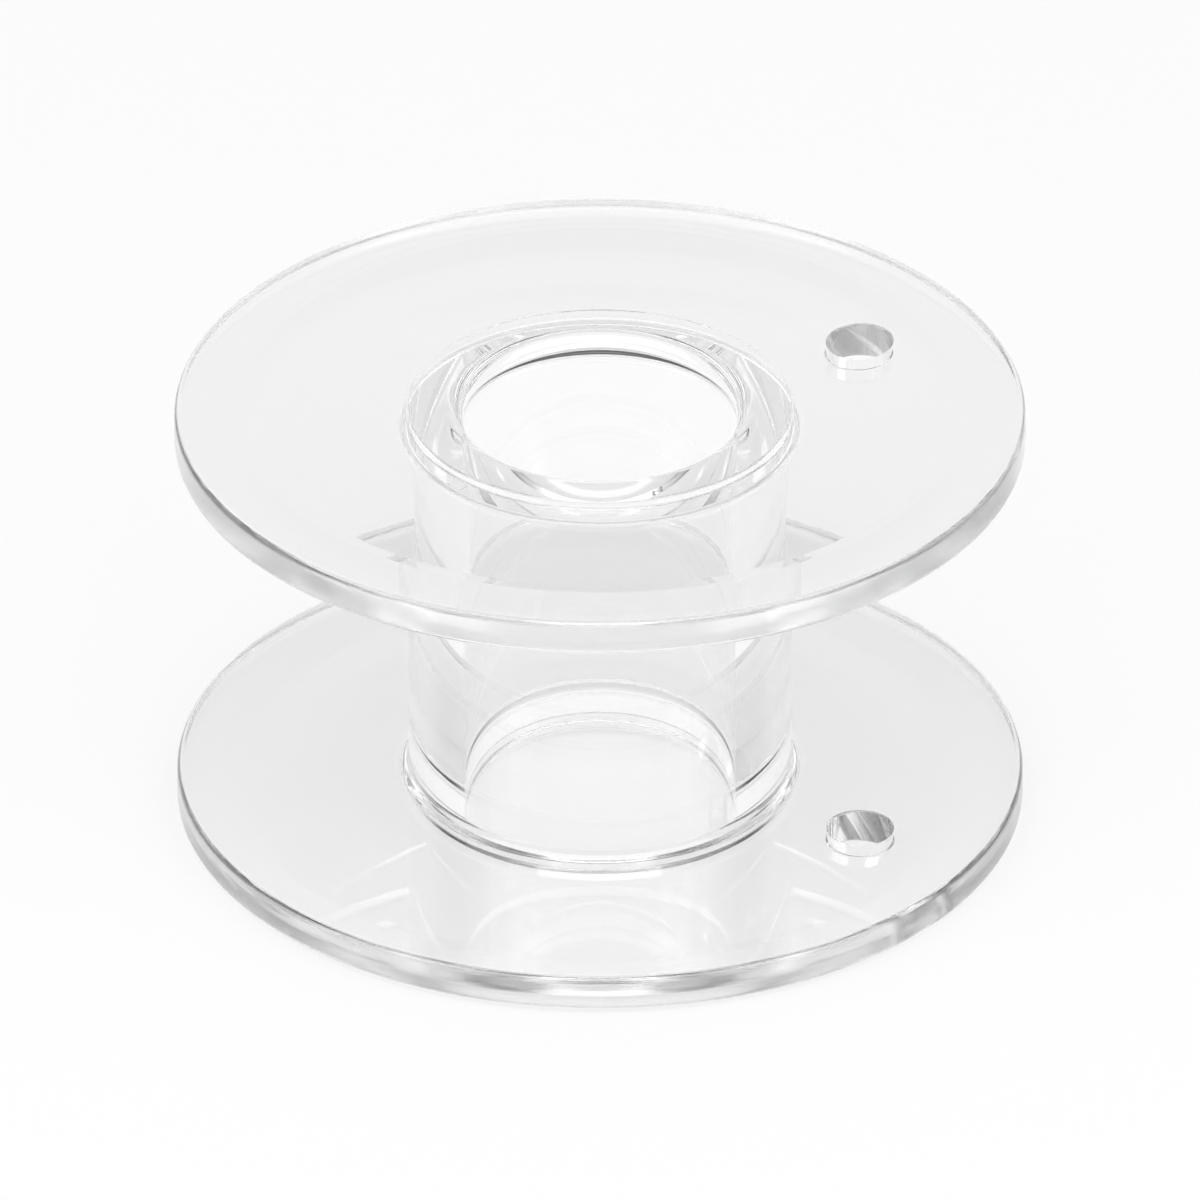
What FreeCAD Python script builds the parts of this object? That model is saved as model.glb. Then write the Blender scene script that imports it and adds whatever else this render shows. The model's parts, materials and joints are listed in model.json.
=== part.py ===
import FreeCAD, Part
import math
import os

# A clear moulded bobbin: a tubular hub between two round flanges, made as one piece.
# Millimetres. The axis is Z, and the bobbin stands on its lower flange at Z = 0.

# Overall sizes
flange_diameter = 20.5
overall_height = 10.9

# Hub: the tube that the thread is wound on, and the bore that goes over the spindle
hub_diameter = 9.3
bore_diameter = 6.6
bore_lip_round = 0.45
hub_root_fillet = 0.3

# Flange section: thickest under the narrow land that it stands on, with a shallow dished web
# between the land and the end of the hub, and a slightly bevelled band between the land and the rim
flange_thickness = 0.95
land_width = 0.3
web_recess = 0.2
bevel_width = 1.35
bevel_drop = 0.08
rim_chamfer = 0.12

# Thread holes: one through each flange, at an angle from +X
thread_hole_diameter = 1.6
thread_hole_to_land = 0.75
lower_hole_angle = -27.0
upper_hole_angle = 27.0

# The bore lip takes at most this share of the hub wall
lip_limit = 0.45

flange_r = flange_diameter / 2
hub_r = hub_diameter / 2
bore_r = bore_diameter / 2
land_outer_r = flange_r - bevel_width
land_inner_r = land_outer_r - land_width
mid_height = overall_height / 2


def at(r, z):
    """A point of the half section, which lies in the XZ plane."""
    return FreeCAD.Vector(r, 0, z)


def outline(start, *runs):
    """A closed chain of edges. A run is one point for a line, or two for an arc through the first."""
    edges = []
    here = at(*start)
    for run in runs:
        *middle, end = [at(*point) for point in run]
        curve = Part.Arc(here, *middle, end) if middle else Part.LineSegment(here, end)
        edges.append(curve.toShape())
        here = end
    return Part.Wire(edges)


def lower_section():
    """The half section of the lower half, round from the middle of the bore and back to it."""
    lip = min(bore_lip_round, lip_limit * (hub_r - bore_r))
    lip_sag = lip * (1 - math.sqrt(0.5))
    root_z = flange_thickness + hub_root_fillet
    root_sag = hub_root_fillet * (1 - math.sqrt(0.5))
    rim_edge_r = flange_r - rim_chamfer
    return outline(
        (bore_r, mid_height),
        [(bore_r, lip)],
        [(bore_r + lip_sag, lip_sag), (bore_r + lip, 0)],
        [(hub_r, 0)],
        [(hub_r, web_recess)],
        [(land_inner_r, 0)],
        [(land_outer_r, 0)],
        [(rim_edge_r, bevel_drop)],
        [(flange_r, bevel_drop + rim_chamfer)],
        [(flange_r, flange_thickness - rim_chamfer)],
        [(rim_edge_r, flange_thickness)],
        [(hub_r + hub_root_fillet, flange_thickness)],
        [(hub_r + root_sag, flange_thickness + root_sag), (hub_r, root_z)],
        [(hub_r, mid_height)],
        [(bore_r, mid_height)],
    )


def turned_body():
    """The hub and both flanges: the lower half turned from its section, and its mirror image."""
    lower = Part.Face(lower_section()).revolve(at(0, 0), FreeCAD.Vector(0, 0, 1), 360)
    upper = lower.mirror(at(0, mid_height), FreeCAD.Vector(0, 0, 1))
    return lower.fuse(upper).removeSplitter()


def thread_hole(angle, flange_bottom):
    """A drill through one flange, just inside its land."""
    pitch_r = land_inner_r - thread_hole_to_land - thread_hole_diameter / 2
    turn = math.radians(angle)
    place = FreeCAD.Vector(pitch_r * math.cos(turn), pitch_r * math.sin(turn), flange_bottom)
    return Part.makeCylinder(thread_hole_diameter / 2, flange_thickness, place)


def bobbin():
    """The whole bobbin, with its two thread holes."""
    upper_flange_bottom = overall_height - flange_thickness
    holes = [thread_hole(lower_hole_angle, 0), thread_hole(upper_hole_angle, upper_flange_bottom)]
    return turned_body().cut(holes)


os.makedirs("parts", exist_ok=True)
bobbin().exportStep("parts/bobbin.step")
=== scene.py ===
import json
import math

import bmesh
import bpy
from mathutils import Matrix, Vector


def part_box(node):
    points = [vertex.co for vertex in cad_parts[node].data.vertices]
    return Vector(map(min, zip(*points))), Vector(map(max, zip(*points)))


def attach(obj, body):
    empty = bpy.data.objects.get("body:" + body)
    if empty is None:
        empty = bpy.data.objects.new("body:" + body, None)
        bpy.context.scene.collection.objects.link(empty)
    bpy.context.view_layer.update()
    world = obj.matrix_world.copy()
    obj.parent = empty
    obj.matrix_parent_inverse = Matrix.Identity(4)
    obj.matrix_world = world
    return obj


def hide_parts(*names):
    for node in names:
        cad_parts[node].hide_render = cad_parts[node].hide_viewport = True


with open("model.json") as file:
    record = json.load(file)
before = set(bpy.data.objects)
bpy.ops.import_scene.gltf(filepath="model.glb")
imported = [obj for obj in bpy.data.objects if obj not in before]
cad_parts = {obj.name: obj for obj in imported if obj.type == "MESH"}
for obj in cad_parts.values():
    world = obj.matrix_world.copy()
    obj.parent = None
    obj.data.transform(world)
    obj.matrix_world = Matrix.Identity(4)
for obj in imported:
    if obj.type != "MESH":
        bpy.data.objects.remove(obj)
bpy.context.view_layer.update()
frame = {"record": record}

# A clear moulded bobbin on a white table. Metres, in the part's own frame: the bobbin's axis is Z, it
# stands at Z = 0, and the camera is on the -Y side.
MM = 0.001

# Bobbin: the overall sizes and the bore come from the frame
LOW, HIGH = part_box("bobbin")
MOUNTS = {mount["name"]: mount for mount in frame["record"]["mounts"]}
HEIGHT = HIGH.z - LOW.z
FLANGE_R = (HIGH.y - LOW.y) / 2
BORE_R = MOUNTS["bore"]["dims"]["r_mm"] * MM
BORE_LIP = 0.45 * MM
HUB_R = 4.65 * MM
HUB_ROOT = 0.3 * MM
FLANGE_THICKNESS = 0.95 * MM
LAND_WIDTH = 0.3 * MM
WEB_RECESS = 0.2 * MM
BEVEL_WIDTH = 1.35 * MM
BEVEL_DROP = 0.08 * MM
HOLE_R = 0.8 * MM
HOLE_TO_LAND = 0.75 * MM
LOWER_HOLE_ANGLE = -27.0
UPPER_HOLE_ANGLE = 27.0

# Edges that are crisp on the solid are a hair soft, as a moulding's are
EDGE = 0.05 * MM
RIM_EDGE = 0.15 * MM
LAND_EDGE = 0.4 * MM

LAND_OUTER_R = FLANGE_R - BEVEL_WIDTH
LAND_INNER_R = LAND_OUTER_R - LAND_WIDTH
WEB_SLOPE = WEB_RECESS / (LAND_INNER_R - HUB_R)
HOLE_PITCH_R = LAND_INNER_R - HOLE_TO_LAND - HOLE_R

# Mesh density. Each thread hole is set in a patch of its flange's rows and segments.
SEGMENTS = 384
ARC_STEP = math.radians(6)
PATCH_MARGIN = 0.55 * MM
PATCH_ROWS = 8
PATCH_HALF_SEGMENTS = 15
PATCH_LAYERS = 4
PATCH_CROWDING = 0.8
HOLE_EDGE_STEPS = 4

# Clear plastic. Scales are per metre, and each pair of levels is where the mark starts and is full.
PLASTIC_IOR = 1.57
PLASTIC_COLOUR = (0.995, 0.995, 0.995, 1)
RIM_SATIN_WIDTH = 0.1 * MM
RIM_ROUGHNESS = 0.2
SCRATCH_SCALE = 2600
SCRATCH_TURN = (0.3, 0.5, 0.7)
SCRATCH_STRETCH = (1, 0.04, 1)
SCRATCH_LEVELS = (0.66, 0.74)
SCRATCH_ROUGHNESS = 0.06
SCUFF_SCALE = 420
SCUFF_LEVELS = (0.52, 0.75)
SCUFF_ROUGHNESS = 0.03
MICROMETRE = 1e-6
WAVE_SCALE = 190
WAVE_MICROMETRES = 4
PEEL_SCALE = 1100
PEEL_MICROMETRES = 0.5

# Light that a surface lets through in the bobbin's shadow, from face on to edge on
SHADOW_FACING = (0.2, 1)
SHADOW_LEVELS = (0.99, 0.82)

# Table: white paper round the bobbin, which goes over into a table with a painted glow further out. The glow
# stands in for a lit table and dims with distance as painted fall-off of light.
TABLE_HALF = 0.5
TABLE_GAP = 0.02 * MM
PAPER_COLOUR = (0.93, 0.93, 0.93, 1)
PAPER_TO_GLOW = (0.03, 0.12)
TABLE_GLOW_FALLOFF = (0.08, 0.3)
TABLE_GLOW_LEVELS = (1, 0.5)

# Room, by the Y and Z of a way to look: bright in front, dark at the sides, a bright panel at the back
ROOM_SIDE_Y = (0, 0.3)
ROOM_SIDE_LEVELS = (0.75, 0.06)
PANEL_Y = (0.6, 0.95)
PANEL_Z = (0.15, 0.8)
PANEL_LEVELS = (1, 0.5)

# Lamp: one wide soft box above the front of the table
LAMP_PLACE = Vector((0, -0.47, 0.88))
LAMP_WIDTH = 2.7
LAMP_DEPTH = 0.72
LAMP_POWER = 14.8

# Camera: a long lens, so that the view is as flat as the photograph's
VIEW_ELEVATION = math.radians(30.5)
VIEW_HALF_ANGLE = math.radians(1.2)
VIEW_HALF_WIDTH = 14.5 * MM
VIEW_END = 3

# Light goes round inside the rims many times before it leaves them
BOUNCES = 24


def web_height(r):
    """Height of the lower flange's dished web at radius r."""
    return WEB_SLOPE * (LAND_INNER_R - r)


def patch_radii():
    """Radii of the rows that a thread hole's patch is made of."""
    inner = HOLE_PITCH_R - HOLE_R - PATCH_MARGIN
    outer = HOLE_PITCH_R + HOLE_R + PATCH_MARGIN
    return [inner + (outer - inner) * i / PATCH_ROWS for i in range(PATCH_ROWS + 1)]


def lower_corners():
    """Half section of the lower half as (r, z, rounding, row name), from the bore round to the hub."""
    radii = patch_radii()
    return [
        (BORE_R, HEIGHT / 2, 0, None),
        (BORE_R, 0, BORE_LIP, None),
        (HUB_R, 0, EDGE, None),
        (HUB_R, WEB_RECESS, EDGE, None),
        *[(r, web_height(r), 0, "outer") for r in radii],
        (LAND_INNER_R, 0, LAND_EDGE, None),
        (LAND_OUTER_R, 0, LAND_EDGE, None),
        (FLANGE_R, BEVEL_DROP, RIM_EDGE, None),
        (FLANGE_R, FLANGE_THICKNESS, RIM_EDGE, None),
        *[(r, FLANGE_THICKNESS, 0, "inner") for r in reversed(radii)],
        (HUB_R, FLANGE_THICKNESS, HUB_ROOT, None),
        (HUB_R, HEIGHT / 2, 0, None),
    ]


def corner_arc(before, here, after, rounding):
    """Points along the arc that rounds a corner, each with its normal."""
    back = (before - here).normalized()
    ahead = (after - here).normalized()
    half_angle = back.angle(ahead) / 2
    centre = here + (back + ahead).normalized() * (rounding / math.sin(half_angle))
    start = here + back * (rounding / math.tan(half_angle)) - centre
    turn = math.pi - 2 * half_angle
    steps = max(2, round(turn / ARC_STEP))
    side = 1 if back.x * ahead.y - back.y * ahead.x < 0 else -1
    arc = []
    for k in range(steps + 1):
        angle = turn * k / steps * side
        c, s = math.cos(angle), math.sin(angle)
        arm = Vector((start.x * c - start.y * s, start.x * s + start.y * c))
        arc.append((centre + arm, arm.normalized() * side))
    return arc


def rounded_points(corners):
    """Points along the corners as (r, z, normal r, normal z, row name), with the corners rounded."""
    spots = [Vector(corner[:2]) for corner in corners]
    points = []
    for i, (r, z, rounding, row_name) in enumerate(corners):
        if rounding:
            for spot, normal in corner_arc(*spots[i - 1:i + 2], rounding):
                points.append((*spot, *normal, row_name))
        else:
            end = max(i, 1)
            way = (spots[end] - spots[end - 1]).normalized()
            points.append((r, z, way.y, -way.x, row_name))
    return points


def closed_section():
    """The whole half section, round the lower flange and back by the upper one, and half its count."""
    lower = rounded_points(lower_corners())
    upper = [(r, HEIGHT - z, nr, -nz, row_name) for r, z, nr, nz, row_name in reversed(lower)]
    return lower[:-1] + upper[:-1], len(lower) - 1


class Shell:
    """Vertices with normals, and faces between them."""

    def __init__(self):
        self.spots = []
        self.normals = []
        self.faces = []

    def add(self, x, y, z, normal):
        """Adds a vertex and gives its number."""
        self.spots.append((x, y, z))
        self.normals.append(normal)
        return len(self.spots) - 1

    def band(self, first, second, gaps=()):
        """A closed band of faces between two rings of vertices, left open at the gaps."""
        count = len(first)
        for j in range(count):
            if j not in gaps:
                k = (j + 1) % count
                self.faces.append((first[j], first[k], second[k], second[j]))


def turned(shell, points):
    """Rings of vertices for the section's points, turned about the axis."""
    rings = []
    for r, z, nr, nz, _ in points:
        ring = []
        for j in range(SEGMENTS):
            turn = 2 * math.pi * j / SEGMENTS
            c, s = math.cos(turn), math.sin(turn)
            ring.append(shell.add(r * c, r * s, z, (nr * c, nr * s, nz)))
        rings.append(ring)
    return rings


def patch_edge(rings, rows, low, high):
    """The vertices round the patch between two segments, in order."""
    edge = [(rows[0], j) for j in range(low, high)]
    edge += [(row, high) for row in rows[:-1]]
    edge += [(rows[-1], j) for j in range(high, low, -1)]
    edge += [(row, low) for row in reversed(rows[1:])]
    return [rings[row][j % SEGMENTS] for row, j in edge]


def flange_faces():
    """Outer and inner face of each flange as (height at a radius, slope, 1 if it faces up or else -1)."""
    lower = ((web_height, WEB_SLOPE, -1), (lambda r: FLANGE_THICKNESS, 0, 1))
    upper = (
        (lambda r: HEIGHT - web_height(r), WEB_SLOPE, 1),
        (lambda r: HEIGHT - FLANGE_THICKNESS, 0, -1),
    )
    return lower, upper


def flat_rings(shell, plan, centre, ways, face):
    """Rings on a flange face, from the edge of a patch in to the edge of its hole."""
    height, slope, side = face
    length = math.hypot(1, slope)
    rings = []
    for layer in range(1, PATCH_LAYERS + 1):
        share = (layer / PATCH_LAYERS) ** PATCH_CROWDING
        ring = []
        for start, way in zip(plan, ways):
            spot = start.lerp(centre + way * (HOLE_R + EDGE), share)
            r = spot.length
            lean = spot / r * (-slope / length)
            ring.append(shell.add(*spot, height(r), (*lean, side / length)))
        rings.append(ring)
    return rings


def lip_rings(shell, centre, ways, face):
    """Rings that turn from a flange face into the wall of its hole."""
    height, _, side = face
    rings = []
    for step in range(1, HOLE_EDGE_STEPS + 1):
        bend = math.pi / 2 * step / HOLE_EDGE_STEPS
        inward, upright = math.sin(bend), math.cos(bend)
        ring = []
        for way in ways:
            spot = centre + way * (HOLE_R + EDGE - EDGE * inward)
            z = height(spot.length) - side * EDGE * (1 - upright)
            ring.append(shell.add(*spot, z, (*(way * -inward), side * upright)))
        rings.append(ring)
    return rings


def thread_hole(shell, edges, angle, faces):
    """Fills the patches on both faces of a flange with rings round a hole, and lines the hole."""
    outer_edge, inner_edge = edges
    centre = Vector((HOLE_PITCH_R * math.cos(angle), HOLE_PITCH_R * math.sin(angle)))
    plan = [Vector(shell.spots[i][:2]) for i in outer_edge]
    ways = [(spot - centre).normalized() for spot in plan]
    outer, inner = [
        flat_rings(shell, plan, centre, ways, face) + lip_rings(shell, centre, ways, face)
        for face in faces
    ]
    rings = [outer_edge, *outer, *reversed(inner), inner_edge]
    for first, second in zip(rings, rings[1:]):
        shell.band(first, second)


def bobbin_shell():
    """The bobbin as one closed shell: turned from its section, with a hole through each flange."""
    points, half_count = closed_section()
    shell = Shell()
    rings = turned(shell, points)
    halves = (range(half_count), range(half_count, len(points)))
    angles = (LOWER_HOLE_ANGLE, UPPER_HOLE_ANGLE)
    gaps = {}
    for half, angle, faces in zip(halves, angles, flange_faces()):
        middle = round(angle / 360 * SEGMENTS)
        low, high = middle - PATCH_HALF_SEGMENTS, middle + PATCH_HALF_SEGMENTS
        edges = []
        for row_name in ("outer", "inner"):
            rows = [i for i in half if points[i][4] == row_name]
            rows.sort(key=lambda i: points[i][0])
            edges.append(patch_edge(rings, rows, low, high))
            for i in range(min(rows), max(rows)):
                gaps[i] = {j % SEGMENTS for j in range(low, high)}
        thread_hole(shell, edges, math.radians(angle), faces)
    for i, ring in enumerate(rings):
        shell.band(ring, rings[(i + 1) % len(rings)], gaps.get(i, ()))
    return shell


def mesh_object(name, shell):
    """An object from a shell, without the vertices in its gaps and with the shell's own normals."""
    used = sorted({i for face in shell.faces for i in face})
    place = {old: new for new, old in enumerate(used)}
    faces = [[place[i] for i in face] for face in shell.faces]
    mesh = bpy.data.meshes.new(name)
    mesh.from_pydata([shell.spots[i] for i in used], [], faces)
    work = bmesh.new()
    work.from_mesh(mesh)
    bmesh.ops.recalc_face_normals(work, faces=work.faces)
    work.to_mesh(mesh)
    work.free()
    mesh.shade_smooth()
    mesh.normals_split_custom_set_from_vertices([shell.normals[i] for i in used])
    thing = bpy.data.objects.new(name, mesh)
    bpy.context.scene.collection.objects.link(thing)
    return thing


def node_tree(owner):
    """The emptied node tree of a material or world."""
    owner.use_nodes = True
    owner.node_tree.nodes.clear()
    return owner.node_tree


def add(tree, kind, **inputs):
    """A new node, with the inputs that are named set. A name has _ for each space."""
    node = tree.nodes.new("ShaderNode" + kind)
    for name, value in inputs.items():
        node.inputs[name.replace("_", " ")].default_value = value
    return node


def smooth(tree, source, span, levels):
    """A socket that eases from the first level to the second while the source crosses the span."""
    ease = add(
        tree, "MapRange", From_Min=span[0], From_Max=span[1], To_Min=levels[0], To_Max=levels[1]
    )
    ease.interpolation_type = "SMOOTHSTEP"
    tree.links.new(source, ease.inputs["Value"])
    return ease.outputs["Result"]


def math_node(tree, operation, first, second):
    """A socket with the sum, product or the like of a socket and another socket or a number."""
    node = add(tree, "Math")
    node.operation = operation
    tree.links.new(first, node.inputs[0])
    if isinstance(second, (int, float)):
        node.inputs[1].default_value = second
    else:
        tree.links.new(second, node.inputs[1])
    return node.outputs[0]


def noise(tree, spot, scale, detail):
    """A noise socket over a position socket."""
    node = add(tree, "TexNoise", Scale=scale, Detail=detail)
    tree.links.new(spot, node.inputs["Vector"])
    return node.outputs[0]


def distance(tree, spot):
    """A socket with the length of a position socket."""
    node = add(tree, "VectorMath")
    node.operation = "LENGTH"
    tree.links.new(spot, node.inputs[0])
    return node.outputs["Value"]


def mix_surface(tree, share, first, second):
    """Ends a material with a mix of two shaders."""
    mixed = add(tree, "MixShader")
    tree.links.new(share, mixed.inputs[0])
    tree.links.new(first.outputs[0], mixed.inputs[1])
    tree.links.new(second.outputs[0], mixed.inputs[2])
    out = add(tree, "OutputMaterial")
    tree.links.new(mixed.outputs[0], out.inputs["Surface"])


def rim_roughness(tree, spot):
    """A socket with the roughness of the satin rims, and 0 elsewhere."""
    flat = add(tree, "VectorMath")
    flat.operation = "MULTIPLY"
    flat.inputs[1].default_value = (1, 1, 0)
    tree.links.new(spot, flat.inputs[0])
    span = (FLANGE_R - RIM_SATIN_WIDTH, FLANGE_R - RIM_SATIN_WIDTH / 3)
    return smooth(tree, distance(tree, flat.outputs["Vector"]), span, (0, RIM_ROUGHNESS))


def wear_roughness(tree, spot):
    """A socket with the roughness of fine scratches and light scuffs from handling."""
    streaks = add(tree, "Mapping", Rotation=SCRATCH_TURN, Scale=SCRATCH_STRETCH)
    tree.links.new(spot, streaks.inputs["Vector"])
    lines = noise(tree, streaks.outputs[0], SCRATCH_SCALE, 1)
    patches = noise(tree, spot, SCUFF_SCALE, 2)
    scratch = smooth(tree, lines, SCRATCH_LEVELS, (0, SCRATCH_ROUGHNESS))
    scuff = smooth(tree, patches, SCUFF_LEVELS, (0, SCUFF_ROUGHNESS))
    return math_node(tree, "MAXIMUM", scratch, scuff)


def moulded_waves(tree, spot):
    """A normal socket with slight waves and a finer peel from the mould."""
    waves = math_node(tree, "MULTIPLY", noise(tree, spot, WAVE_SCALE, 1), WAVE_MICROMETRES)
    peel = math_node(tree, "MULTIPLY", noise(tree, spot, PEEL_SCALE, 1), PEEL_MICROMETRES)
    bump = add(tree, "Bump", Strength=1, Distance=MICROMETRE)
    tree.links.new(math_node(tree, "ADD", waves, peel), bump.inputs["Height"])
    return bump.outputs[0]


def clear_plastic():
    """Clear glossy plastic. Shadow and diffuse rays go straight through it, and light the table under it."""
    material = bpy.data.materials.new("clear_plastic")
    tree = node_tree(material)
    link = tree.links.new
    spot = add(tree, "TexCoord").outputs["Object"]
    rough = math_node(tree, "ADD", wear_roughness(tree, spot), rim_roughness(tree, spot))
    body = add(
        tree, "BsdfPrincipled", Base_Color=PLASTIC_COLOUR, IOR=PLASTIC_IOR, Transmission_Weight=1
    )
    link(rough, body.inputs["Roughness"])
    link(moulded_waves(tree, spot), body.inputs["Normal"])
    facing = add(tree, "LayerWeight").outputs["Facing"]
    through = add(tree, "BsdfTransparent")
    link(smooth(tree, facing, SHADOW_FACING, SHADOW_LEVELS), through.inputs["Color"])
    path = add(tree, "LightPath")
    straight = math_node(tree, "MAXIMUM", path.outputs["Is Shadow Ray"], path.outputs["Is Diffuse Ray"])
    mix_surface(tree, straight, body, through)
    return material


def paper_and_glowing_table():
    """Matt white paper near the bobbin, and further out a table with a painted glow that dims with distance.
    """
    material = bpy.data.materials.new("floor_paper_and_painted_glow")
    tree = node_tree(material)
    away = distance(tree, add(tree, "TexCoord").outputs["Object"])
    paper = add(tree, "BsdfDiffuse", Color=PAPER_COLOUR)
    # Painted glow: further out the table emits light in place of being lit, and its strength dims with
    # distance as painted fall-off.
    table = add(tree, "Emission", Color=(1, 1, 1, 1))
    tree.links.new(smooth(tree, away, TABLE_GLOW_FALLOFF, TABLE_GLOW_LEVELS), table.inputs["Strength"])
    mix_surface(tree, smooth(tree, away, PAPER_TO_GLOW, (0, 1)), paper, table)
    return material


def floor():
    """The table, just under the bobbin."""
    ends = (-TABLE_HALF, TABLE_HALF)
    corners = [(x, y, -TABLE_GAP) for y in ends for x in ends]
    mesh = bpy.data.meshes.new("floor")
    mesh.from_pydata(corners, [], [(0, 1, 3, 2)])
    mesh.materials.append(paper_and_glowing_table())
    thing = bpy.data.objects.new("floor", mesh)
    bpy.context.scene.collection.objects.link(thing)


def room():
    """The light of a plain studio round the table."""
    world = bpy.data.worlds.new("studio")
    bpy.context.scene.world = world
    tree = node_tree(world)
    link = tree.links.new
    way = add(tree, "SeparateXYZ")
    link(add(tree, "TexCoord").outputs["Generated"], way.inputs[0])
    level = add(tree, "Mix")
    link(smooth(tree, way.outputs["Y"], PANEL_Y, (0, 1)), level.inputs["Factor"])
    link(smooth(tree, way.outputs["Y"], ROOM_SIDE_Y, ROOM_SIDE_LEVELS), level.inputs[2])
    link(smooth(tree, way.outputs["Z"], PANEL_Z, PANEL_LEVELS), level.inputs[3])
    light = add(tree, "Background")
    link(level.outputs[0], light.inputs["Strength"])
    out = add(tree, "OutputWorld")
    link(light.outputs[0], out.inputs["Surface"])


def aimed(name, data, place, aim):
    """An object at a place, such as a lamp or camera, that looks at an aim."""
    thing = bpy.data.objects.new(name, data)
    thing.location = place
    thing.rotation_euler = (aim - place).to_track_quat("-Z", "Y").to_euler()
    bpy.context.scene.collection.objects.link(thing)
    return thing


def lamp():
    """The soft box, which looks at the foot of the bobbin."""
    data = bpy.data.lights.new("soft_box", "AREA")
    data.shape = "RECTANGLE"
    data.size, data.size_y = LAMP_WIDTH, LAMP_DEPTH
    data.energy = LAMP_POWER
    aimed("soft_box", data, LAMP_PLACE, Vector((0, 0, 0)))


def camera():
    """The photograph's view, at the middle of the bobbin."""
    data = bpy.data.cameras.new("camera")
    data.lens = data.sensor_width / 2 / math.tan(VIEW_HALF_ANGLE)
    data.clip_end = VIEW_END
    aim = Vector((0, 0, HEIGHT / 2))
    way = Vector((0, -math.cos(VIEW_ELEVATION), math.sin(VIEW_ELEVATION)))
    place = aim + way * (VIEW_HALF_WIDTH / math.tan(VIEW_HALF_ANGLE))
    bpy.context.scene.camera = aimed("camera", data, place, aim)


bobbin = mesh_object("bobbin_clear", bobbin_shell())
bobbin.data.materials.append(clear_plastic())
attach(bobbin, "root")
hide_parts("bobbin")
floor()
room()
lamp()
camera()

scene = bpy.context.scene
scene.view_settings.view_transform = "Standard"
scene.cycles.max_bounces = BOUNCES
scene.cycles.glossy_bounces = BOUNCES
scene.cycles.transmission_bounces = BOUNCES
